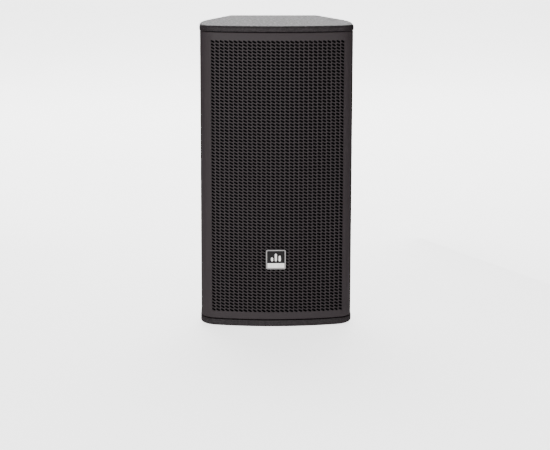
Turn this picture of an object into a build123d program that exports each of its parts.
"""Compact two-way powered PA loudspeaker, a cabinet with a bowed perforated front.

Millimetres. The front faces -Y, +X is to the right of someone who looks at the front, +Z is up.
The origin is at the middle of the footprint, on the surface that the rubber feet stand on.
"""
import math
import os

from build123d import *

os.makedirs("parts", exist_ok=True)

# ---------------------------------------------------------------- driving dimensions
FOOT_HEIGHT = 4.0
BOTTOM_THICKNESS = 10.8
TOP_THICKNESS = 9.0
WALL_HEIGHT = 451.1
PLATE_DEPTH = 213.0          # front to back of the top and bottom plates
BADGE_PROUD = 1.2            # how far the badge stands in front of the plates
PLATE_HALF_WIDTH = 119.2
REAR_HALF_WIDTH = 72.1
FRONT_RADIUS = 380.0         # bow of the front, seen from above
CORNER_RADIUS = 32.0         # front corners, seen from above
BEND_RADIUS = 150.0          # where the straight sides turn into the rear taper
REAR_RADIUS = 6.0
TAPER_START = 98.0           # behind the front of the plates
PLATE_PROUD = 0.8            # plates stand this far out of the walls and the grille
PLATE_ROUNDING = 4.0         # outer edges of the top and bottom plates
PLATE_SOFTENING = 0.6        # their edges next to the walls
WALL = 9.2                   # plywood walls
BAFFLE_THICKNESS = 12.0
POLE_BORE_RADIUS = 17.8      # takes a 35 mm speaker pole

BOTTOM_Z = FOOT_HEIGHT + BOTTOM_THICKNESS
TOP_Z = BOTTOM_Z + WALL_HEIGHT
FRONT_Y = -(PLATE_DEPTH + BADGE_PROUD) / 2 + BADGE_PROUD
REAR_Y = FRONT_Y + PLATE_DEPTH
GRILLE_Y = FRONT_Y + PLATE_PROUD      # front of the grille on the centre line
BAFFLE_Y = GRILLE_Y + 38.0            # front face of the baffle
BAFFLE_BACK = BAFFLE_Y + BAFFLE_THICKNESS
BACK_BOARD_Y = REAR_Y - PLATE_PROUD - WALL   # inner face of the back board
BODY_BACK = REAR_Y - PLATE_PROUD

WOOFER_Z = 152.0
HORN_Z = 360.0
FINE = 0.05                  # gap left round a board that is glued in
SLIDE_FIT = 0.1              # gap round a piece that is pushed into its place
SCREW_HOLE = 1.9             # radius of the hole for a 3.5 mm screw
AHEAD = FRONT_Y - 5.0        # a depth in front of everything


def export(piece, name):
    """Label a finished piece and write it to its own file."""
    piece.part.label = name
    export_step(piece.part, f"parts/{name}.step")


# ---------------------------------------------------------------- plan of the cabinet
def plan_outline(inset):
    """Outline of the cabinet seen from above, moved in by inset from the plates' edge."""
    centre_y = FRONT_Y + FRONT_RADIUS
    corner_y = centre_y - math.sqrt(FRONT_RADIUS**2 - PLATE_HALF_WIDTH**2)
    taper_y = FRONT_Y + TAPER_START
    with BuildSketch() as outline:
        with BuildLine():
            ThreePointArc((-PLATE_HALF_WIDTH, corner_y), (0, FRONT_Y), (PLATE_HALF_WIDTH, corner_y))
            Polyline(
                (PLATE_HALF_WIDTH, corner_y), (PLATE_HALF_WIDTH, taper_y), (REAR_HALF_WIDTH, REAR_Y),
                (-REAR_HALF_WIDTH, REAR_Y), (-PLATE_HALF_WIDTH, taper_y), (-PLATE_HALF_WIDTH, corner_y),
            )
        make_face()
        for y, radius in ((REAR_Y, REAR_RADIUS), (taper_y, BEND_RADIUS), (corner_y, CORNER_RADIUS)):
            fillet(outline.vertices().filter_by(lambda v, y=y: abs(v.Y - y) < 0.01), radius)
        if inset > 0:
            offset(amount=-inset, kind=Kind.INTERSECTION, mode=Mode.REPLACE)
    return outline.sketch


def band(y_front, y_back, x_low=-150.0, x_high=150.0):
    """Rectangle in plan between two depths, to cut an outline with."""
    with BuildSketch() as strip:
        with Locations(((x_low + x_high) / 2, (y_front + y_back) / 2)):
            Rectangle(x_high - x_low, y_back - y_front)
    return strip.sketch


PLATE_PLAN = plan_outline(0)
BODY_PLAN = plan_outline(PLATE_PROUD)
INNER_PLAN = plan_outline(PLATE_PROUD + WALL)


# ---------------------------------------------------------------- planes and turned pieces
def front_plane(y):
    """Plane at depth y that faces the front: local x is X and local y is Z."""
    return Plane.XZ.offset(-y)


def back_plane(x, y, z):
    """Plane at a point, facing the back."""
    return Plane((x, y, z), x_dir=(1, 0, 0), z_dir=(0, 1, 0))


def turned(z, points):
    """Solid turned about a front-to-back axis at height z, from (depth y, radius) points."""
    section = Plane((0, 0, z), x_dir=(0, 1, 0), z_dir=(1, 0, 0))
    with BuildPart() as solid:
        with BuildSketch(section):
            with BuildLine():
                Polyline(*points, close=True)
            make_face()
        revolve(axis=Axis((0, 0, z), (0, 1, 0)))
    return solid.part


def dome(edge_y, edge_radius, rise):
    """Three points of a spherical dome's section, from its edge to its top on the axis."""
    sphere = (edge_radius**2 + rise**2) / (2 * rise)
    half = math.asin(edge_radius / abs(sphere)) / 2
    middle = (edge_y + rise - sphere * (1 - math.cos(half)), abs(sphere) * math.sin(half))
    return (edge_y, edge_radius), middle, (edge_y + rise, 0)


def ring(z, y_front, y_back, inner, outer):
    """Plain ring or disc about a front-to-back axis at height z."""
    return turned(z, [(y_front, inner), (y_front, outer), (y_back, outer), (y_back, inner)])


def screw(head_radius, head_height, shank_radius, length):
    """Pan-head screw along Z with a cross recess; the head sits on Z = 0."""
    with BuildPart() as solid:
        Cylinder(head_radius, head_height, align=(Align.CENTER, Align.CENTER, Align.MIN))
        fillet(solid.edges().group_by(Axis.Z)[-1], head_height * 0.45)
        Cylinder(shank_radius, length, align=(Align.CENTER, Align.CENTER, Align.MAX))
        chamfer(solid.edges().group_by(Axis.Z)[0], shank_radius * 0.4)
        with BuildSketch(Plane.XY.offset(head_height)):
            Rectangle(head_radius * 1.1, head_radius * 0.3)
            Rectangle(head_radius * 0.3, head_radius * 1.1)
        extrude(amount=-head_height * 0.5, mode=Mode.SUBTRACT)
    return solid.part


# ---------------------------------------------------------------- where things are fastened
POLE_Y = 8.0
POLE_DEPTH = 75.0
SOCKET_FLANGE = (32.0, 2.5)          # radius, thickness
SOCKET_WALL = 2.5
SOCKET_SCREW_CIRCLE = 26.5
WOOD_SCREW = (3.4, 1.8, 1.75, 10.0)  # head radius and height, shank radius and length
FOOT_RADIUS, FOOT_RECESS_RADIUS, FOOT_RECESS_DEPTH = 12.0, 4.0, 2.6
GRILLE_SCREW_RECESS = (4.0, 3.2)     # radius, depth
FOOT_PLACES = [(-85, -58), (85, -58), (-50, 88), (50, 88)]
GRILLE_SCREW_PLACES = [
    (x, FRONT_Y + FRONT_RADIUS - math.sqrt((FRONT_RADIUS - 7.0) ** 2 - x**2)) for x in (-80, 0, 80)
]
PORT_X, PORT_Z = 72.0, 42.0
PORT_RADIUS, PORT_WALL, PORT_LENGTH = 17.5, 2.5, 90.0
PORT_FLANGE = (5.5, 2.5)             # width, thickness
BRACKET_X, BRACKET_Z = 35.0, 428.0
INSERT_RADIUS, INSERT_BORE = 6.0, 3.4
TRAY_Z, TRAY_WIDTH, TRAY_HEIGHT = 252.0, 104.0, 268.0     # inside of the control recess
TRAY_SHEET = 2.5
TRAY_WALL = 2.0
TRAY_FLANGE = 6.0
TRAY_CORNER = 6.0
TRAY_FLOOR = BODY_BACK - 15.5         # outer face of the recess floor
TRAY_INSIDE = TRAY_FLOOR - TRAY_SHEET

# ---------------------------------------------------------------- cabinet
with BuildPart() as top_plate:
    with BuildSketch(Plane.XY.offset(TOP_Z)):
        add(PLATE_PLAN)
    extrude(amount=TOP_THICKNESS)
    fillet(top_plate.edges().group_by(Axis.Z)[-1], PLATE_ROUNDING)
    fillet(top_plate.edges().group_by(Axis.Z)[0], PLATE_SOFTENING)
export(top_plate, "top_plate")

with BuildPart() as bottom_plate:
    with BuildSketch(Plane.XY.offset(FOOT_HEIGHT)):
        add(PLATE_PLAN)
    extrude(amount=BOTTOM_THICKNESS)
    fillet(bottom_plate.edges().group_by(Axis.Z)[0], PLATE_ROUNDING)
    fillet(bottom_plate.edges().group_by(Axis.Z)[-1], PLATE_SOFTENING)
    underside = Plane.XY.offset(FOOT_HEIGHT)
    with BuildSketch(underside):
        with Locations((0, POLE_Y)):
            Circle(SOCKET_FLANGE[0] + 2 * SLIDE_FIT)
    extrude(amount=SOCKET_FLANGE[1] + FINE, mode=Mode.SUBTRACT)
    with BuildSketch(underside):
        with Locations((0, POLE_Y)):
            Circle(POLE_BORE_RADIUS + SOCKET_WALL + 2 * SLIDE_FIT)
            with PolarLocations(SOCKET_SCREW_CIRCLE, 4, start_angle=45):
                Circle(SCREW_HOLE)
        with Locations(*FOOT_PLACES):
            Circle(SCREW_HOLE)
        with Locations(*GRILLE_SCREW_PLACES):
            Circle(SCREW_HOLE + SLIDE_FIT)
    extrude(amount=BOTTOM_THICKNESS, mode=Mode.SUBTRACT)
    with BuildSketch(underside):
        with Locations(*GRILLE_SCREW_PLACES):
            Circle(GRILLE_SCREW_RECESS[0])
    extrude(amount=GRILLE_SCREW_RECESS[1], mode=Mode.SUBTRACT)
export(bottom_plate, "bottom_plate")

WALL_FRONT = GRILLE_Y + 26.3          # front ends of the side walls
REBATE_END = GRILLE_Y + 50.3          # the grille covers the walls as far back as this
REBATE_PLAN = plan_outline(PLATE_PROUD + 1.6)


def side_wall(side):
    """One bent plywood side: side is -1 for the left and +1 for the right."""
    near, far = sorted((side * 20.0, side * 150.0))
    with BuildPart() as solid:
        with BuildSketch(Plane.XY.offset(BOTTOM_Z)) as rear:
            add(BODY_PLAN)
            add(band(REBATE_END, BACK_BOARD_Y, near, far), mode=Mode.INTERSECT)
            add(INNER_PLAN, mode=Mode.SUBTRACT)
        extrude(amount=WALL_HEIGHT)
        with BuildSketch(Plane.XY.offset(BOTTOM_Z)) as front:
            add(REBATE_PLAN)
            add(band(WALL_FRONT, REBATE_END, near, far), mode=Mode.INTERSECT)
            add(INNER_PLAN, mode=Mode.SUBTRACT)
        extrude(amount=WALL_HEIGHT)
    return solid.part


with BuildPart() as side_wall_left:
    add(side_wall(-1))
export(side_wall_left, "side_wall_left")

with BuildPart() as side_wall_right:
    add(side_wall(1))
export(side_wall_right, "side_wall_right")

with BuildPart() as back_board:
    with BuildSketch(Plane.XY.offset(BOTTOM_Z)):
        add(BODY_PLAN)
        add(band(BACK_BOARD_Y, REAR_Y), mode=Mode.INTERSECT)
    extrude(amount=WALL_HEIGHT)
    # rebate for the control recess's flange, and its opening
    with BuildSketch(front_plane(BODY_BACK)):
        with Locations((0, TRAY_Z)):
            RectangleRounded(TRAY_WIDTH + 2 * TRAY_FLANGE + 1, TRAY_HEIGHT + 2 * TRAY_FLANGE + 1,
                             TRAY_CORNER + 0.5)
    extrude(amount=TRAY_SHEET, mode=Mode.SUBTRACT)
    with BuildSketch(front_plane(BODY_BACK)):
        with Locations((0, TRAY_Z)):
            RectangleRounded(TRAY_WIDTH + 2 * TRAY_WALL + 1, TRAY_HEIGHT + 2 * TRAY_WALL + 1, TRAY_CORNER - 1)
        with Locations((-BRACKET_X, BRACKET_Z), (BRACKET_X, BRACKET_Z)):
            Circle(INSERT_RADIUS + FINE)
    extrude(amount=WALL + 1, mode=Mode.SUBTRACT)
export(back_board, "back_board")

WOOFER_CUTOUT = 92.6
WOOFER_SCREWS = (98.0, 8)            # circle's radius, count
WOOFER_SCREW_TURN = 22.5
WOOFER_SCREW_HOLE = 2.3
HORN_WIDTH, HORN_HEIGHT = 194.0, 186.0
HORN_CUTOUT = (181.0, 171.0)
HORN_CUTOUT_CORNER = 22.0
HORN_SCREWS = (HORN_WIDTH - 8, HORN_HEIGHT / 2 - 4, 2, 3)
HORN_SCREW_HOLE = 2.0
with BuildPart() as front_baffle:
    with BuildSketch(Plane.XY.offset(BOTTOM_Z + FINE)):
        add(plan_outline(PLATE_PROUD + WALL + FINE))
        add(band(BAFFLE_Y, BAFFLE_BACK), mode=Mode.INTERSECT)
    extrude(amount=WALL_HEIGHT - 2 * FINE)
    with BuildSketch(front_plane(BAFFLE_Y)):
        with Locations((0, WOOFER_Z)):
            Circle(WOOFER_CUTOUT)
            with PolarLocations(*WOOFER_SCREWS, start_angle=WOOFER_SCREW_TURN):
                Circle(WOOFER_SCREW_HOLE)
        with Locations((0, HORN_Z)):
            RectangleRounded(*HORN_CUTOUT, HORN_CUTOUT_CORNER)
            with GridLocations(*HORN_SCREWS):
                Circle(HORN_SCREW_HOLE)
        with Locations((-PORT_X, PORT_Z), (PORT_X, PORT_Z)):
            Circle(PORT_RADIUS + PORT_WALL + SLIDE_FIT)
    extrude(amount=-BAFFLE_THICKNESS, mode=Mode.SUBTRACT)
export(front_baffle, "front_baffle")

BRACE_Z, BRACE_THICKNESS = 256.0, 9.0
BRACE_BACK = GRILLE_Y + 148.0
with BuildPart() as shelf_brace:
    with BuildSketch(Plane.XY.offset(BRACE_Z)):
        add(plan_outline(PLATE_PROUD + WALL + FINE))
        add(band(BAFFLE_BACK + FINE, BRACE_BACK), mode=Mode.INTERSECT)
        with Locations((0, (BAFFLE_BACK + BRACE_BACK) / 2)):
            with GridLocations(80, 0, 2, 1):
                RectangleRounded(62, 66, 12, mode=Mode.SUBTRACT)
    extrude(amount=BRACE_THICKNESS)
export(shelf_brace, "shelf_brace")

PAD_THICKNESS = 9.0
with BuildPart() as damping_pads:
    with BuildSketch(Plane.XY.offset(BOTTOM_Z + 16)):
        add(plan_outline(PLATE_PROUD + WALL + 0.2))
        add(plan_outline(PLATE_PROUD + WALL + 0.2 + PAD_THICKNESS), mode=Mode.SUBTRACT)
        add(band(BRACE_BACK + 2, GRILLE_Y + 188), mode=Mode.INTERSECT)
    extrude(amount=WALL_HEIGHT - 32)
export(damping_pads, "damping_pads")

with BuildPart() as bracket_inserts:
    with BuildSketch(front_plane(BODY_BACK)):
        with Locations((-BRACKET_X, BRACKET_Z), (BRACKET_X, BRACKET_Z)):
            Circle(INSERT_RADIUS)
            Circle(INSERT_BORE, mode=Mode.SUBTRACT)
    extrude(amount=WALL - 0.2)
export(bracket_inserts, "bracket_inserts")

# ---------------------------------------------------------------- stand fitting and feet
with BuildPart() as pole_socket:
    with BuildSketch(Plane.XY.offset(FOOT_HEIGHT)):
        with Locations((0, POLE_Y)):
            Circle(SOCKET_FLANGE[0])
    extrude(amount=SOCKET_FLANGE[1])
    with BuildSketch(Plane.XY.offset(FOOT_HEIGHT)):
        with Locations((0, POLE_Y)):
            Circle(POLE_BORE_RADIUS + SOCKET_WALL)
    extrude(amount=POLE_DEPTH + SOCKET_WALL)
    with BuildSketch(Plane.XY.offset(FOOT_HEIGHT)):
        with Locations((0, POLE_Y)):
            Circle(POLE_BORE_RADIUS)
    extrude(amount=POLE_DEPTH, mode=Mode.SUBTRACT)
    with BuildSketch(Plane.XY.offset(FOOT_HEIGHT)):
        with Locations((0, POLE_Y)):
            with PolarLocations(SOCKET_SCREW_CIRCLE, 4, start_angle=45):
                Circle(SCREW_HOLE)
    extrude(amount=SOCKET_FLANGE[1], mode=Mode.SUBTRACT)
    fillet(pole_socket.edges().group_by(Axis.Z)[-1], 2.0)
export(pole_socket, "pole_socket")

with BuildPart() as pole_socket_screws:
    with Locations(Plane((0, POLE_Y, FOOT_HEIGHT), x_dir=(1, 0, 0), z_dir=(0, 0, -1))):
        with PolarLocations(SOCKET_SCREW_CIRCLE, 4, start_angle=45):
            add(screw(*WOOD_SCREW))
export(pole_socket_screws, "pole_socket_screws")

with BuildPart() as rubber_feet:
    with BuildSketch(Plane.XY.offset(FOOT_HEIGHT)):
        with Locations(*FOOT_PLACES):
            Circle(FOOT_RADIUS)
    extrude(amount=-FOOT_HEIGHT, taper=8)
    with BuildSketch():
        with Locations(*FOOT_PLACES):
            Circle(FOOT_RECESS_RADIUS)
    extrude(amount=FOOT_RECESS_DEPTH, mode=Mode.SUBTRACT)
    with BuildSketch():
        with Locations(*FOOT_PLACES):
            Circle(SCREW_HOLE)
    extrude(amount=FOOT_HEIGHT, mode=Mode.SUBTRACT)
export(rubber_feet, "rubber_feet")

with BuildPart() as foot_screws:
    with Locations(*[Plane((x, y, FOOT_RECESS_DEPTH), x_dir=(1, 0, 0), z_dir=(0, 0, -1))
                     for x, y in FOOT_PLACES]):
        add(screw(*WOOD_SCREW))
export(foot_screws, "foot_screws")

# ---------------------------------------------------------------- bass ports
def port_tube(x):
    """Flanged reflex tube, let into the baffle beside the bass driver."""
    with BuildPart() as solid:
        with BuildSketch(front_plane(BAFFLE_Y)):
            with Locations((x, PORT_Z)):
                Circle(PORT_RADIUS + PORT_FLANGE[0])
        extrude(amount=PORT_FLANGE[1])
        with BuildSketch(front_plane(BAFFLE_Y)):
            with Locations((x, PORT_Z)):
                Circle(PORT_RADIUS + PORT_WALL)
        extrude(amount=-PORT_LENGTH)
        with BuildSketch(front_plane(BAFFLE_Y - PORT_FLANGE[1])):
            with Locations((x, PORT_Z)):
                Circle(PORT_RADIUS)
        extrude(amount=-PORT_LENGTH - PORT_FLANGE[1], mode=Mode.SUBTRACT)
        mouth = solid.edges().filter_by(GeomType.CIRCLE).group_by(Axis.Y)[0].sort_by(SortBy.RADIUS)[0]
        fillet(mouth, 2.0)
    return solid.part


with BuildPart() as port_tube_left:
    add(port_tube(-PORT_X))
export(port_tube_left, "port_tube_left")

with BuildPart() as port_tube_right:
    add(port_tube(PORT_X))
export(port_tube_right, "port_tube_right")

# ---------------------------------------------------------------- grille
GRILLE_SHEET = 1.2
GRILLE_GAP = 1.0                     # dark line between the grille and each plate
GRILLE_LOW = BOTTOM_Z + GRILLE_GAP
GRILLE_HIGH = TOP_Z - GRILLE_GAP
LIP_DEPTH = 10.0
LIP_END = GRILLE_Y + 24.0
with BuildPart() as front_grille:
    with BuildSketch(Plane.XY.offset(GRILLE_LOW)):
        add(BODY_PLAN)
        add(plan_outline(PLATE_PROUD + GRILLE_SHEET), mode=Mode.SUBTRACT)
        add(band(AHEAD, REBATE_END - 0.3), mode=Mode.INTERSECT)
    extrude(amount=GRILLE_HIGH - GRILLE_LOW)
    for lip_z in (GRILLE_LOW, GRILLE_HIGH - GRILLE_SHEET):
        with BuildSketch(Plane.XY.offset(lip_z)):
            add(BODY_PLAN)
            add(plan_outline(PLATE_PROUD + LIP_DEPTH), mode=Mode.SUBTRACT)
            add(band(AHEAD, LIP_END), mode=Mode.INTERSECT)
        extrude(amount=GRILLE_SHEET)
    with BuildSketch(Plane.XY.offset(GRILLE_LOW)):
        with Locations(*GRILLE_SCREW_PLACES):
            Circle(SCREW_HOLE)
    extrude(amount=GRILLE_SHEET, mode=Mode.SUBTRACT)
export(front_grille, "front_grille")

with BuildPart() as grille_foam:
    with BuildSketch(Plane.XY.offset(GRILLE_LOW + GRILLE_SHEET + 0.2)):
        add(plan_outline(PLATE_PROUD + GRILLE_SHEET + 0.1))
        add(plan_outline(PLATE_PROUD + GRILLE_SHEET + 4.1), mode=Mode.SUBTRACT)
        add(band(AHEAD, LIP_END), mode=Mode.INTERSECT)
        with Locations(*GRILLE_SCREW_PLACES):
            Circle(4.2, mode=Mode.SUBTRACT)
    extrude(amount=GRILLE_HIGH - GRILLE_LOW - 2 * GRILLE_SHEET - 0.4)
export(grille_foam, "grille_foam")

with BuildPart() as grille_screws:
    with Locations(*[Plane((x, y, FOOT_HEIGHT + GRILLE_SCREW_RECESS[1]), x_dir=(1, 0, 0), z_dir=(0, 0, -1))
                     for x, y in GRILLE_SCREW_PLACES]):
        add(screw(3.4, 2.0, 1.8, 14.0))
export(grille_screws, "grille_screws")

# ---------------------------------------------------------------- badge
BADGE_X, BADGE_Z, BADGE_SIZE = -1.6, 112.4, 30.6
BADGE_BACK = GRILLE_Y - 0.1
BADGE_RIM = 1.6
with BuildPart() as badge_frame:
    with BuildSketch(front_plane(BADGE_BACK)):
        with Locations((BADGE_X, BADGE_Z)):
            RectangleRounded(BADGE_SIZE, BADGE_SIZE, 2.6)
            RectangleRounded(BADGE_SIZE - 2 * BADGE_RIM, BADGE_SIZE - 2 * BADGE_RIM, 1.4, mode=Mode.SUBTRACT)
    extrude(amount=BADGE_BACK - (FRONT_Y - BADGE_PROUD))
    fillet(badge_frame.edges().group_by(Axis.Y)[0], 0.5)
export(badge_frame, "badge_frame")

with BuildPart() as badge_inlay:
    with BuildSketch(front_plane(BADGE_BACK)):
        with Locations((BADGE_X, BADGE_Z)):
            RectangleRounded(BADGE_SIZE - 2 * BADGE_RIM - 0.1, BADGE_SIZE - 2 * BADGE_RIM - 0.1, 1.3)
    extrude(amount=1.1)
export(badge_inlay, "badge_inlay")

# ---------------------------------------------------------------- bass driver
# Depths are measured back from the front of the baffle.
FLANGE_RADIUS, FLANGE_THICKNESS = 103.0, 4.0
CONE_RADIUS = 76.0
FORMER_INNER, FORMER_OUTER, WINDING_RADIUS = 18.6, 19.3, 20.0
SPIDER_DEPTH = 41.0
MOTOR_DEPTH = 53.0           # front of the driver's top plate
TOP_PLATE_STEEL, MAGNET_THICKNESS, YOKE_THICKNESS = 8.0, 16.0, 8.0
MOTOR_RADIUS, MAGNET_RADIUS = 46.0, 52.0


def at(depth):
    """Depth behind the front of the baffle, as a Y position."""
    return BAFFLE_Y + depth


with BuildPart() as woofer_frame:
    add(turned(WOOFER_Z, [
        (at(-FLANGE_THICKNESS), 88), (at(-FLANGE_THICKNESS), FLANGE_RADIUS), (at(-FINE), FLANGE_RADIUS),
        (at(-FINE), 92), (at(13), 92), (at(48), 52), (at(MOTOR_DEPTH), 52), (at(MOTOR_DEPTH), 28),
        (at(MOTOR_DEPTH - 4), 28), (at(MOTOR_DEPTH - 4), 42.5), (at(SPIDER_DEPTH + 1.2), 42.5),
        (at(SPIDER_DEPTH + 1.2), 55), (at(12), 88.4),
    ]))
    front_edges = woofer_frame.edges().filter_by(GeomType.CIRCLE).group_by(Axis.Y)[0]
    fillet(front_edges.sort_by(SortBy.RADIUS)[-1], 1.2)
    # open windows between six arms
    window = Plane((0, 0, WOOFER_Z), x_dir=(1, 0, 0), z_dir=(0, -1, 0))
    with BuildSketch(window.offset(-at(14))):
        with PolarLocations(71, 6, start_angle=30):
            Trapezoid(28, 52, 76, rotation=90)
    extrude(amount=-24, mode=Mode.SUBTRACT)
    with BuildSketch(window.offset(-at(-FLANGE_THICKNESS))):
        with PolarLocations(*WOOFER_SCREWS, start_angle=WOOFER_SCREW_TURN):
            Circle(WOOFER_SCREW_HOLE)
    extrude(amount=-FLANGE_THICKNESS, mode=Mode.SUBTRACT)
export(woofer_frame, "woofer_frame")

with BuildPart() as woofer_surround:
    # half-roll of rubber with a flat rim outside and a lip glued to the cone inside
    section = Plane((0, 0, WOOFER_Z), x_dir=(0, 1, 0), z_dir=(1, 0, 0))
    rim = at(-FLANGE_THICKNESS - 0.05)
    with BuildSketch(section):
        with BuildLine():
            ThreePointArc((rim - 1, 76.2), (rim - 8, 83.2), (rim - 1, 90.2))
            Polyline((rim - 1, 90.2), (rim - 1, 93.4), (rim, 93.4), (rim, 89.2))
            ThreePointArc((rim, 89.2), (rim - 6.6, 83.2), (rim, 77.2))
            Polyline((rim, 77.2), (rim, 72.4), (rim - 1, 72.4), (rim - 1, 76.2))
        make_face()
    revolve(axis=Axis((0, 0, WOOFER_Z), (0, 1, 0)))
export(woofer_surround, "woofer_surround")

CONE_FRONT = at(-FLANGE_THICKNESS + 0.05)
CONE_BACK = at(27)
with BuildPart() as woofer_cone:
    add(turned(WOOFER_Z, [
        (CONE_FRONT, 72.4), (CONE_FRONT, CONE_RADIUS), (CONE_FRONT + 1.3, CONE_RADIUS),
        (CONE_BACK + 1.6, FORMER_OUTER + 0.02), (CONE_BACK, FORMER_OUTER + 0.02),
        (CONE_FRONT + 1.3, 72.4),
    ]))
export(woofer_cone, "woofer_cone")

with BuildPart() as woofer_dust_cap:
    cap_edge = at(24.6)
    with BuildSketch(Plane((0, 0, WOOFER_Z), x_dir=(0, 1, 0), z_dir=(1, 0, 0))):
        with BuildLine():
            ThreePointArc(*dome(cap_edge - 1.2, 24, -8))
            Polyline((cap_edge - 9.2, 0), (cap_edge - 8.2, 0))
            ThreePointArc(*dome(cap_edge - 0.6, 23.4, -7.6))
            Polyline((cap_edge - 0.6, 23.4), (cap_edge - 1.2, 24))
        make_face()
    revolve(axis=Axis((0, 0, WOOFER_Z), (0, 1, 0)))
export(woofer_dust_cap, "woofer_dust_cap")

with BuildPart() as woofer_voice_coil:
    add(turned(WOOFER_Z, [
        (at(25.2), FORMER_INNER), (at(25.2), FORMER_OUTER), (at(50.5), FORMER_OUTER),
        (at(50.5), WINDING_RADIUS), (at(62.5), WINDING_RADIUS), (at(62.5), FORMER_INNER),
    ]))
export(woofer_voice_coil, "woofer_voice_coil")

with BuildPart() as woofer_spider:
    # corrugated cloth ring from the coil former out to the frame's ledge
    waves = 6
    pitch = (42.0 - FORMER_OUTER - 2.0) / waves
    crests = [(at(SPIDER_DEPTH - 0.4 + (1.2 if k % 2 else 0.0) - 0.8), FORMER_OUTER + 1.0 + k * pitch)
              for k in range(waves + 1)]
    outline_front = [(at(SPIDER_DEPTH - 0.4), FORMER_OUTER + 0.02)] + crests
    outline_front += [(at(SPIDER_DEPTH + 0.1), 43.0), (at(SPIDER_DEPTH + 0.1), 48.0)]
    outline_back = [(y + 0.9, r) for y, r in reversed(outline_front)]
    add(turned(WOOFER_Z, outline_front + outline_back))
export(woofer_spider, "woofer_spider")

with BuildPart() as woofer_top_plate:
    add(ring(WOOFER_Z, at(MOTOR_DEPTH), at(MOTOR_DEPTH + TOP_PLATE_STEEL), 20.8, MOTOR_RADIUS))
    chamfer(woofer_top_plate.edges().filter_by(GeomType.CIRCLE).sort_by(SortBy.RADIUS)[-2:], 0.8)
export(woofer_top_plate, "woofer_top_plate")

MAGNET_DEPTH = MOTOR_DEPTH + TOP_PLATE_STEEL
with BuildPart() as woofer_magnet:
    add(ring(WOOFER_Z, at(MAGNET_DEPTH), at(MAGNET_DEPTH + MAGNET_THICKNESS), 26, MAGNET_RADIUS))
    fillet(woofer_magnet.edges().filter_by(GeomType.CIRCLE).sort_by(SortBy.RADIUS)[-2:], 1.0)
export(woofer_magnet, "woofer_magnet")

YOKE_DEPTH = MAGNET_DEPTH + MAGNET_THICKNESS
with BuildPart() as woofer_yoke:
    add(turned(WOOFER_Z, [
        (at(MOTOR_DEPTH), 4), (at(MOTOR_DEPTH), 17.8), (at(YOKE_DEPTH), 17.8), (at(YOKE_DEPTH), MOTOR_RADIUS),
        (at(YOKE_DEPTH + YOKE_THICKNESS - 2), MOTOR_RADIUS),
        (at(YOKE_DEPTH + YOKE_THICKNESS), MOTOR_RADIUS - 3), (at(YOKE_DEPTH + YOKE_THICKNESS), 4),
    ]))
export(woofer_yoke, "woofer_yoke")

with BuildPart() as woofer_screws:
    with Locations(Plane((0, at(-FLANGE_THICKNESS), WOOFER_Z), x_dir=(1, 0, 0), z_dir=(0, -1, 0))):
        with PolarLocations(*WOOFER_SCREWS, start_angle=WOOFER_SCREW_TURN):
            add(screw(4.2, 2.6, 2.2, 15.0))
export(woofer_screws, "woofer_screws")

# ---------------------------------------------------------------- horn
THROAT_RADIUS = 12.7
THROAT_FLANGE = (36.0, 6.0)  # radius, thickness
THROAT_BOLTS = (30.0, 4)     # circle's radius, count
HORN_WALL = 3.0
HORN_FLANGE = 4.0
HORN_SECTIONS = [            # depth, width, height, corner radius of the inside
    (-HORN_FLANGE, 172.0, 162.0, 20.0),
    (18.0, 118.0, 104.0, 22.0),
    (40.0, 60.0, 54.0, 18.0),
    (62.0, 2 * THROAT_RADIUS, 2 * THROAT_RADIUS, THROAT_RADIUS - 0.01),
]


def flare(grow):
    """Solid that fills the horn's inside, grown all round by grow."""
    with BuildPart() as solid:
        for depth, width, height, radius in HORN_SECTIONS:
            with BuildSketch(front_plane(at(depth))):
                with Locations((0, HORN_Z)):
                    RectangleRounded(width + 2 * grow, height + 2 * grow, radius + grow)
        loft()
    return solid.part


THROAT_DEPTH = HORN_SECTIONS[-1][0]
with BuildPart() as horn:
    with BuildSketch(front_plane(at(-HORN_FLANGE))):
        with Locations((0, HORN_Z)):
            RectangleRounded(HORN_WIDTH, HORN_HEIGHT, 12)
            with GridLocations(*HORN_SCREWS):
                Circle(HORN_SCREW_HOLE, mode=Mode.SUBTRACT)
    extrude(amount=FINE - HORN_FLANGE)
    add(flare(HORN_WALL))
    with BuildSketch(front_plane(at(THROAT_DEPTH - THROAT_FLANGE[1]))):
        with Locations((0, HORN_Z)):
            Circle(THROAT_FLANGE[0])
            with PolarLocations(*THROAT_BOLTS, start_angle=45):
                Circle(2.2, mode=Mode.SUBTRACT)
    extrude(amount=-THROAT_FLANGE[1])
    add(flare(0.0), mode=Mode.SUBTRACT)
export(horn, "horn")

with BuildPart() as horn_screws:
    with Locations(Plane((0, at(-HORN_FLANGE), HORN_Z), x_dir=(1, 0, 0), z_dir=(0, -1, 0))):
        with GridLocations(*HORN_SCREWS):
            add(screw(3.4, 2.2, 1.9, 13.0))
export(horn_screws, "horn_screws")

# ---------------------------------------------------------------- compression driver
DRIVER_FRONT = at(THROAT_DEPTH)
DRIVER_RADIUS = 42.0
DRIVER_GAP_BACK = DRIVER_FRONT + 29.0    # back of the magnet's iron, where the diaphragm sits
with BuildPart() as driver_front_plate:
    add(turned(HORN_Z, [
        (DRIVER_FRONT, THROAT_RADIUS), (DRIVER_FRONT, DRIVER_RADIUS - 1), (DRIVER_FRONT + 1, DRIVER_RADIUS),
        (DRIVER_FRONT + 7, DRIVER_RADIUS), (DRIVER_FRONT + 7, 21.2), (DRIVER_GAP_BACK, 21.2),
        (DRIVER_GAP_BACK, 16.5),
    ]))
export(driver_front_plate, "driver_front_plate")

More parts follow.
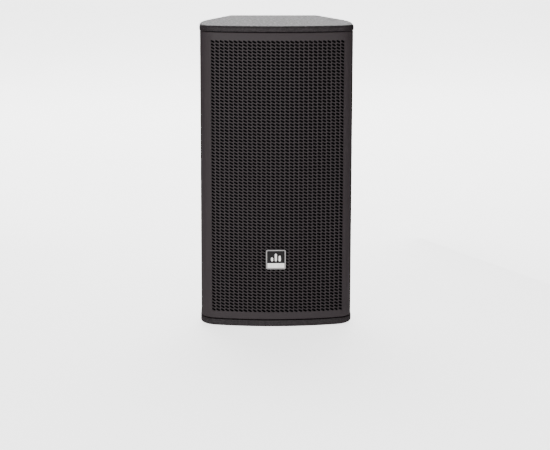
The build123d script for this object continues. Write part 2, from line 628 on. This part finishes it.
with BuildPart() as driver_magnet:
    add(ring(HORN_Z, DRIVER_FRONT + 7, DRIVER_FRONT + 23, 26, DRIVER_RADIUS - 1))
    fillet(driver_magnet.edges().filter_by(GeomType.CIRCLE).sort_by(SortBy.RADIUS)[-2:], 1.0)
export(driver_magnet, "driver_magnet")

with BuildPart() as driver_back_plate:
    add(ring(HORN_Z, DRIVER_FRONT + 23, DRIVER_GAP_BACK, 23.4, DRIVER_RADIUS))
    chamfer(driver_back_plate.edges().filter_by(GeomType.CIRCLE).sort_by(SortBy.RADIUS)[-2:], 0.6)
export(driver_back_plate, "driver_back_plate")

with BuildPart() as driver_phase_plug:
    # three nested rings on a bullet, standing in the rear of the throat
    add(turned(HORN_Z, [
        (DRIVER_FRONT + 8, 0), (DRIVER_FRONT + 16, 3.0), (DRIVER_FRONT + 27, 5.0), (DRIVER_GAP_BACK, 5.0),
        (DRIVER_GAP_BACK, 0),
    ]))
    add(turned(HORN_Z, [
        (DRIVER_FRONT + 20, 8.4), (DRIVER_GAP_BACK, 8.4), (DRIVER_GAP_BACK, 12.0),
        (DRIVER_FRONT + 20, 10.0),
    ]))
    with BuildSketch(Plane((0, DRIVER_GAP_BACK, HORN_Z), x_dir=(1, 0, 0), z_dir=(0, -1, 0))):
        with PolarLocations(9.5, 3, start_angle=90):
            Rectangle(12.0, 1.6)
    extrude(amount=3.0)
export(driver_phase_plug, "driver_phase_plug")

with BuildPart() as driver_diaphragm:
    # domed sheet with its coil in the gap of the back plate
    with BuildSketch(Plane((0, 0, HORN_Z), x_dir=(0, 1, 0), z_dir=(1, 0, 0))):
        with BuildLine():
            rest = DRIVER_FRONT + 30.2
            ThreePointArc(*dome(rest, 22.4, 8.8))
            Polyline((rest + 8.8, 0), (rest + 9.4, 0))
            ThreePointArc(*dome(rest + 0.6, 22.9, 8.8))
            Polyline((rest + 0.6, 22.9), (rest - 5.6, 22.9), (rest - 5.6, 21.9), (rest, 21.9), (rest, 22.4))
        make_face()
    revolve(axis=Axis((0, 0, HORN_Z), (0, 1, 0)))
export(driver_diaphragm, "driver_diaphragm")

with BuildPart() as driver_back_cap:
    add(turned(HORN_Z, [
        (DRIVER_GAP_BACK, 28), (DRIVER_GAP_BACK, 40), (DRIVER_FRONT + 44, 38), (DRIVER_FRONT + 46, 35.5),
        (DRIVER_FRONT + 46, 0), (DRIVER_FRONT + 43.6, 0), (DRIVER_FRONT + 43.6, 28),
    ]))
    with BuildSketch(Plane((0, DRIVER_GAP_BACK, HORN_Z), x_dir=(1, 0, 0), z_dir=(0, -1, 0))):
        with PolarLocations(32.5, 4):
            Circle(SCREW_HOLE)
    extrude(amount=-20, mode=Mode.SUBTRACT)
export(driver_back_cap, "driver_back_cap")

with BuildPart() as driver_screws:
    # long bolts that clamp the driver to the horn's throat flange
    with Locations(Plane((0, DRIVER_FRONT - THROAT_FLANGE[1], HORN_Z), x_dir=(1, 0, 0), z_dir=(0, -1, 0))):
        with PolarLocations(*THROAT_BOLTS, start_angle=45):
            add(screw(4.0, 2.4, 2.1, 5.8))
export(driver_screws, "driver_screws")

# ---------------------------------------------------------------- control recess in the back
INPUT_X, OUTPUT_X, SOCKET_Z = 27.0, -27.0, 352.0
KNOB_Z = 300.0
KNOB_PITCH = 32.0
LED_Z = 326.0
INLET_X, POWER_Z = 25.0, 240.0
INLET_BODY = (27.0, 35.0)
SWITCH_X = -27.0
SWITCH_BODY = (13.0, 19.2)
BARREL_RADIUS = 11.6         # of each signal connector, behind its plate
LATCH_RISE = 14.2            # latch above the middle of its connector
LENS_RADIUS = 2.5
BUSH_RADIUS = 3.7            # threaded neck of a potentiometer
SINK_Z, SINK_WIDTH, SINK_HEIGHT = 163.0, 92.0, 78.0
FLANGE_W, FLANGE_H = 28.0, 34.0      # plate of each signal connector
TRAY_SCREWS = (TRAY_WIDTH + TRAY_FLANGE, TRAY_HEIGHT + TRAY_FLANGE)

with BuildPart() as amp_tray:
    with BuildSketch(front_plane(BODY_BACK)):
        with Locations((0, TRAY_Z)):
            RectangleRounded(TRAY_WIDTH + 2 * TRAY_FLANGE, TRAY_HEIGHT + 2 * TRAY_FLANGE, TRAY_CORNER)
    extrude(amount=TRAY_SHEET)
    with BuildSketch(front_plane(BODY_BACK)):
        with Locations((0, TRAY_Z)):
            RectangleRounded(TRAY_WIDTH + 2 * TRAY_WALL, TRAY_HEIGHT + 2 * TRAY_WALL, TRAY_CORNER - 1)
    extrude(amount=BODY_BACK - TRAY_INSIDE)
    with BuildSketch(front_plane(BODY_BACK)):
        with Locations((0, TRAY_Z)):
            RectangleRounded(TRAY_WIDTH, TRAY_HEIGHT, TRAY_CORNER - 2)
    extrude(amount=BODY_BACK - TRAY_FLOOR, mode=Mode.SUBTRACT)
    fillet(amp_tray.faces().sort_by(Axis.Y)[-1].inner_wires()[0].edges(), 1.0)
    with BuildSketch(front_plane(BODY_BACK)):
        with Locations((INPUT_X, SOCKET_Z), (OUTPUT_X, SOCKET_Z)):
            Circle(BARREL_RADIUS + 3 * SLIDE_FIT)
        with Locations((INPUT_X, SOCKET_Z + LATCH_RISE)):
            Rectangle(9.0, 4.4)
        with Locations((-KNOB_PITCH, KNOB_Z), (0, KNOB_Z), (KNOB_PITCH, KNOB_Z)):
            Circle(BUSH_RADIUS + 2 * SLIDE_FIT)
        with Locations((0, LED_Z)):
            Circle(LENS_RADIUS + FINE)
        with Locations((INLET_X, POWER_Z)):
            Rectangle(INLET_BODY[0] + 4 * SLIDE_FIT, INLET_BODY[1] + 4 * SLIDE_FIT)
        with Locations((SWITCH_X, POWER_Z)):
            Rectangle(SWITCH_BODY[0] + 2 * SLIDE_FIT, SWITCH_BODY[1] + 2 * SLIDE_FIT)
        with Locations((0, TRAY_Z)):
            with GridLocations(TRAY_SCREWS[0], TRAY_SCREWS[1] / 3, 2, 4):
                Circle(1.8)
    extrude(amount=20, mode=Mode.SUBTRACT)
export(amp_tray, "amp_tray")

with BuildPart() as amp_tray_screws:
    with Locations(back_plane(0, BODY_BACK, TRAY_Z)):
        with GridLocations(TRAY_SCREWS[0], TRAY_SCREWS[1] / 3, 2, 4):
            add(screw(3.0, PLATE_PROUD, 1.7, 2.5))
export(amp_tray_screws, "amp_tray_screws")

FIN_COUNT, FIN_THICKNESS, FIN_HEIGHT = 12, 2.2, 9.0
SINK_BASE = 4.0
with BuildPart() as heat_sink:
    with BuildSketch(back_plane(0, TRAY_FLOOR, SINK_Z)):
        Rectangle(SINK_WIDTH, SINK_HEIGHT)
    extrude(amount=SINK_BASE)
    with BuildSketch(back_plane(0, TRAY_FLOOR + SINK_BASE, SINK_Z)):
        with GridLocations((SINK_WIDTH - FIN_THICKNESS) / (FIN_COUNT - 1), 0, FIN_COUNT, 1):
            Rectangle(FIN_THICKNESS, SINK_HEIGHT)
    extrude(amount=FIN_HEIGHT)
    fillet(heat_sink.edges().filter_by(Axis.Z).group_by(Axis.Y)[-1], 0.6)
export(heat_sink, "heat_sink")

# ---------------------------------------------------------------- circuit boards
BOARD_Y = GRILLE_Y + 178.0
BOARD_THICKNESS = 1.6
BOARD_WIDTH = 98.0
STANDOFF_INSET = (10, 8)     # board's width and height less the spacing of its standoffs
AMP_BOARD_Z, AMP_BOARD_HEIGHT = 170.0, 92.0
POWER_BOARD_Z, POWER_BOARD_HEIGHT = 298.0, 72.0


def board(z, height, blocks, cans):
    """Circuit board with block-shaped (x, z, wide, high, deep) and round (x, z, radius, deep) parts."""
    with BuildPart() as solid:
        with BuildSketch(front_plane(BOARD_Y + BOARD_THICKNESS)):
            with Locations((0, z)):
                RectangleRounded(BOARD_WIDTH, height, 2)
                with GridLocations(BOARD_WIDTH - STANDOFF_INSET[0], height - STANDOFF_INSET[1], 2, 2):
                    Circle(1.6, mode=Mode.SUBTRACT)
        extrude(amount=BOARD_THICKNESS)
        for x, dz, wide, high, deep in blocks:
            with BuildSketch(front_plane(BOARD_Y)):
                with Locations((x, z + dz)):
                    Rectangle(wide, high)
            extrude(amount=deep)
        for x, dz, radius, deep in cans:
            with BuildSketch(front_plane(BOARD_Y)):
                with Locations((x, z + dz)):
                    Circle(radius)
            extrude(amount=deep)
    return solid.part


with BuildPart() as amp_board:
    add(board(
        AMP_BOARD_Z, AMP_BOARD_HEIGHT,
        blocks=[(0, 28, 40, 16, 10), (-30, -22, 20, 20, 14), (30, -22, 20, 20, 14)],
        cans=[(-12, 0, 8, 18), (12, 0, 8, 18), (0, -26, 6, 12)],
    ))
export(amp_board, "amp_board")

with BuildPart() as power_board:
    add(board(
        POWER_BOARD_Z, POWER_BOARD_HEIGHT,
        blocks=[(-20, 4, 34, 30, 18), (18, -22, 24, 10, 12), (34, 12, 10, 26, 12)],
        cans=[(14, 14, 8, 19), (14, -4, 8, 19)],
    ))
export(power_board, "power_board")

with BuildPart() as board_standoffs:
    for z, height in ((AMP_BOARD_Z, AMP_BOARD_HEIGHT), (POWER_BOARD_Z, POWER_BOARD_HEIGHT)):
        with BuildSketch(front_plane(TRAY_INSIDE)):
            with Locations((0, z)):
                with GridLocations(BOARD_WIDTH - STANDOFF_INSET[0], height - STANDOFF_INSET[1], 2, 2):
                    RegularPolygon(2.6, 6)
        extrude(amount=TRAY_INSIDE - BOARD_Y - BOARD_THICKNESS)
export(board_standoffs, "board_standoffs")

# ---------------------------------------------------------------- controls
SHAFT_RADIUS = 3.0
KNOB_BASE = TRAY_FLOOR + 0.8
KNOB_HEIGHT = 12.4
KNOB_SKIRT = (8.0, 2.2)      # radius, height
KNOB_RADIUS = 7.0
with BuildPart() as potentiometers:
    for x in (-KNOB_PITCH, 0, KNOB_PITCH):
        with BuildSketch(front_plane(TRAY_INSIDE)):
            with Locations((x, KNOB_Z)):
                RectangleRounded(16, 16, 2)
        extrude(amount=8)
        with BuildSketch(back_plane(x, TRAY_INSIDE, KNOB_Z)):
            Circle(BUSH_RADIUS)
        extrude(amount=TRAY_SHEET + 0.5)
        with BuildSketch(back_plane(x, TRAY_INSIDE, KNOB_Z)):
            Circle(SHAFT_RADIUS)
        extrude(amount=KNOB_BASE + 9.0 - TRAY_INSIDE)
export(potentiometers, "potentiometers")


def knob(x):
    """Fluted control knob with a raised pointer, on its potentiometer's shaft."""
    with BuildPart() as solid:
        with BuildSketch(back_plane(x, KNOB_BASE, KNOB_Z)):
            Circle(KNOB_SKIRT[0])
        extrude(amount=KNOB_SKIRT[1])
        with BuildSketch(back_plane(x, KNOB_BASE + KNOB_SKIRT[1], KNOB_Z)):
            Circle(KNOB_RADIUS)
            with PolarLocations(KNOB_RADIUS + 0.5, 14):
                Circle(0.9, mode=Mode.SUBTRACT)
        extrude(amount=KNOB_HEIGHT - KNOB_SKIRT[1])
        with BuildSketch(back_plane(x, KNOB_BASE + KNOB_HEIGHT, KNOB_Z)):
            with Locations((0, -3.4)):
                Rectangle(1.2, 5.6)
        extrude(amount=0.5)
        with BuildSketch(back_plane(x, KNOB_BASE, KNOB_Z)):
            Circle(SHAFT_RADIUS + FINE)
        extrude(amount=9.6, mode=Mode.SUBTRACT)
    return solid.part


with BuildPart() as knob_level:
    add(knob(KNOB_PITCH))
export(knob_level, "knob_level")

with BuildPart() as knob_bass:
    add(knob(0))
export(knob_bass, "knob_bass")

with BuildPart() as knob_treble:
    add(knob(-KNOB_PITCH))
export(knob_treble, "knob_treble")

with BuildPart() as status_light:
    with BuildSketch(back_plane(0, TRAY_INSIDE, LED_Z)):
        Circle(LENS_RADIUS)
    extrude(amount=TRAY_SHEET + 1.6)
    fillet(status_light.edges().group_by(Axis.Y)[-1], 1.4)
    with BuildSketch(back_plane(0, TRAY_INSIDE - 5, LED_Z)):
        Circle(2.9)
    extrude(amount=5)
export(status_light, "status_light")

# ---------------------------------------------------------------- power switch
PIVOT_Y = TRAY_FLOOR - 2.0
PIVOT_RADIUS = 1.2
ROCKER_TILT = 9.0
BEZEL_THICKNESS = 1.6
with BuildPart() as switch_frame:
    with BuildSketch(back_plane(SWITCH_X, TRAY_FLOOR, POWER_Z)):
        RectangleRounded(16.0, 23.0, 1.5)
    extrude(amount=BEZEL_THICKNESS)
    with BuildSketch(back_plane(SWITCH_X, TRAY_FLOOR, POWER_Z)):
        Rectangle(*SWITCH_BODY)
    extrude(amount=-14)
    with BuildSketch(back_plane(SWITCH_X, TRAY_FLOOR + BEZEL_THICKNESS, POWER_Z)):
        Rectangle(10.2, 16.6)
    extrude(amount=-11.0, mode=Mode.SUBTRACT)
    with BuildSketch(Plane((SWITCH_X, PIVOT_Y, POWER_Z), x_dir=(0, 1, 0), z_dir=(1, 0, 0))):
        Circle(PIVOT_RADIUS + 0.07)
    extrude(amount=6.05, both=True, mode=Mode.SUBTRACT)
export(switch_frame, "switch_frame")

with BuildPart() as switch_rocker:
    pivot = (SWITCH_X, PIVOT_Y, POWER_Z)
    tilted = (0, math.cos(math.radians(ROCKER_TILT)), math.sin(math.radians(ROCKER_TILT)))
    with BuildSketch(Plane(pivot, x_dir=tilted, z_dir=(1, 0, 0))):
        with BuildLine():
            Polyline((-4.0, -3.0), (1.4, -7.4), (4.4, -7.2), (3.0, 0), (4.4, 7.2), (1.4, 7.4), (-4.0, 3.0),
                     close=True)
        make_face()
    extrude(amount=4.8, both=True)
    with BuildSketch(Plane(pivot, x_dir=tilted, z_dir=(1, 0, 0))):
        Circle(PIVOT_RADIUS)
    extrude(amount=6.0, both=True)
export(switch_rocker, "switch_rocker")

# ---------------------------------------------------------------- mains inlet with fuse drawer
INLET_FACE = TRAY_FLOOR + 2.5
INLET_DEPTH = 16.0
INLET_SOCKET_Z = POWER_Z + 6.0
DRAWER_Z = POWER_Z - 11.5
with BuildPart() as mains_inlet:
    with BuildSketch(back_plane(INLET_X, TRAY_FLOOR, POWER_Z)):
        RectangleRounded(31, 40, 2)
    extrude(amount=INLET_FACE - TRAY_FLOOR)
    with BuildSketch(back_plane(INLET_X, TRAY_FLOOR, POWER_Z)):
        Rectangle(*INLET_BODY)
    extrude(amount=-19)
    with BuildSketch(back_plane(INLET_X, INLET_FACE, INLET_SOCKET_Z)):
        RectangleRounded(24.4, 16.6, 2.5)
    extrude(amount=-INLET_DEPTH, mode=Mode.SUBTRACT)
    with BuildSketch(back_plane(INLET_X, INLET_FACE, DRAWER_Z)):
        Rectangle(21.0, 6.6)
    extrude(amount=-INLET_DEPTH, mode=Mode.SUBTRACT)
export(mains_inlet, "mains_inlet")

with BuildPart() as inlet_pins:
    with BuildSketch(back_plane(INLET_X, INLET_FACE - INLET_DEPTH, INLET_SOCKET_Z)):
        with Locations((-7, 2), (7, 2), (0, -2)):
            Rectangle(2, 4)
    extrude(amount=10.4)
export(inlet_pins, "inlet_pins")

with BuildPart() as fuse_drawer:
    with BuildSketch(back_plane(INLET_X, INLET_FACE - 15.0, DRAWER_Z)):
        Rectangle(20.6, 6.2)
    extrude(amount=15.2)
    with BuildSketch(back_plane(INLET_X, INLET_FACE + 0.2, DRAWER_Z)):
        RectangleRounded(23.0, 8.0, 1)
    extrude(amount=1.6)
    with BuildSketch(front_plane(INLET_FACE - 14.0)):
        with Locations((INLET_X, DRAWER_Z)):
            Rectangle(17.0, 3.6)
    extrude(amount=-11.0, mode=Mode.SUBTRACT)
export(fuse_drawer, "fuse_drawer")

# ---------------------------------------------------------------- signal connectors
CONNECTOR_FACE = TRAY_FLOOR + 2.0
BARREL_FACE = CONNECTOR_FACE + 1.2
CONTACT_CIRCLE = 3.3


def connector_body(x):
    """Panel plate and barrel of a round three-contact connector, still solid inside."""
    with BuildPart() as solid:
        with BuildSketch(back_plane(x, TRAY_FLOOR, SOCKET_Z)):
            RectangleRounded(FLANGE_W, FLANGE_H, 2.5)
        extrude(amount=CONNECTOR_FACE - TRAY_FLOOR)
        with BuildSketch(back_plane(x, TRAY_FLOOR, SOCKET_Z)):
            Circle(BARREL_RADIUS)
        extrude(amount=BARREL_FACE - TRAY_FLOOR)
        with BuildSketch(back_plane(x, TRAY_FLOOR, SOCKET_Z)):
            Circle(BARREL_RADIUS)
        extrude(amount=-20)
    return solid.part


with BuildPart() as input_socket:
    add(connector_body(INPUT_X))
    with BuildSketch(back_plane(INPUT_X, BARREL_FACE, SOCKET_Z)):
        Circle(9.7)
        Circle(7.3, mode=Mode.SUBTRACT)
    extrude(amount=-14, mode=Mode.SUBTRACT)
    with BuildSketch(back_plane(INPUT_X, BARREL_FACE, SOCKET_Z)):
        with PolarLocations(CONTACT_CIRCLE, 3, start_angle=90):
            Circle(1.3)
    extrude(amount=-10, mode=Mode.SUBTRACT)
    with BuildSketch(back_plane(INPUT_X, CONNECTOR_FACE, SOCKET_Z)):
        with Locations((0, -LATCH_RISE)):
            Rectangle(8.4, 3.8)
    extrude(amount=-2.0, mode=Mode.SUBTRACT)
export(input_socket, "input_socket")

with BuildPart() as input_latch:
    with BuildSketch(back_plane(INPUT_X, TRAY_INSIDE + 0.5, SOCKET_Z + LATCH_RISE)):
        Rectangle(7.6, 3.0)
    extrude(amount=CONNECTOR_FACE + 2.4 - TRAY_INSIDE - 0.5)
    fillet(input_latch.edges().group_by(Axis.Y)[-1], 0.6)
export(input_latch, "input_latch")

with BuildPart() as output_socket:
    add(connector_body(OUTPUT_X))
    with BuildSketch(back_plane(OUTPUT_X, BARREL_FACE, SOCKET_Z)):
        Circle(9.6)
    extrude(amount=-16, mode=Mode.SUBTRACT)
export(output_socket, "output_socket")

with BuildPart() as output_pins:
    with BuildSketch(back_plane(OUTPUT_X, CONNECTOR_FACE - 14.8, SOCKET_Z)):
        with PolarLocations(CONTACT_CIRCLE, 3, start_angle=-90):
            Circle(1.2)
    extrude(amount=10.0)
    fillet(output_pins.edges().group_by(Axis.Y)[-1], 0.7)
export(output_pins, "output_pins")

# ---------------------------------------------------------------- internal wiring
LEAD_RADIUS = 1.5
BOARD_FRONT = BOARD_Y - 0.3
WOOFER_LEAD = [(44, BOARD_FRONT, 190), (50, 30, 196), (50, at(50.5), 196), (39.5, at(50.5), 186.1)]
DRIVER_LEAD = [(-44, BOARD_FRONT, 206), (-44, 49, 212), (-42, 48, 335), (-16, 50, 352),
               (-16, DRIVER_FRONT + 46, 352)]
with BuildPart() as speaker_leads:
    for route, radii in ((WOOFER_LEAD, [15, 6]), (DRIVER_LEAD, [9, 12, 4])):
        with BuildLine() as path:
            FilletPolyline(*route, radius=radii)
        with BuildSketch(Plane(origin=path.line @ 0, z_dir=path.line % 0)):
            Circle(LEAD_RADIUS)
        sweep(path=path.line)
export(speaker_leads, "speaker_leads")
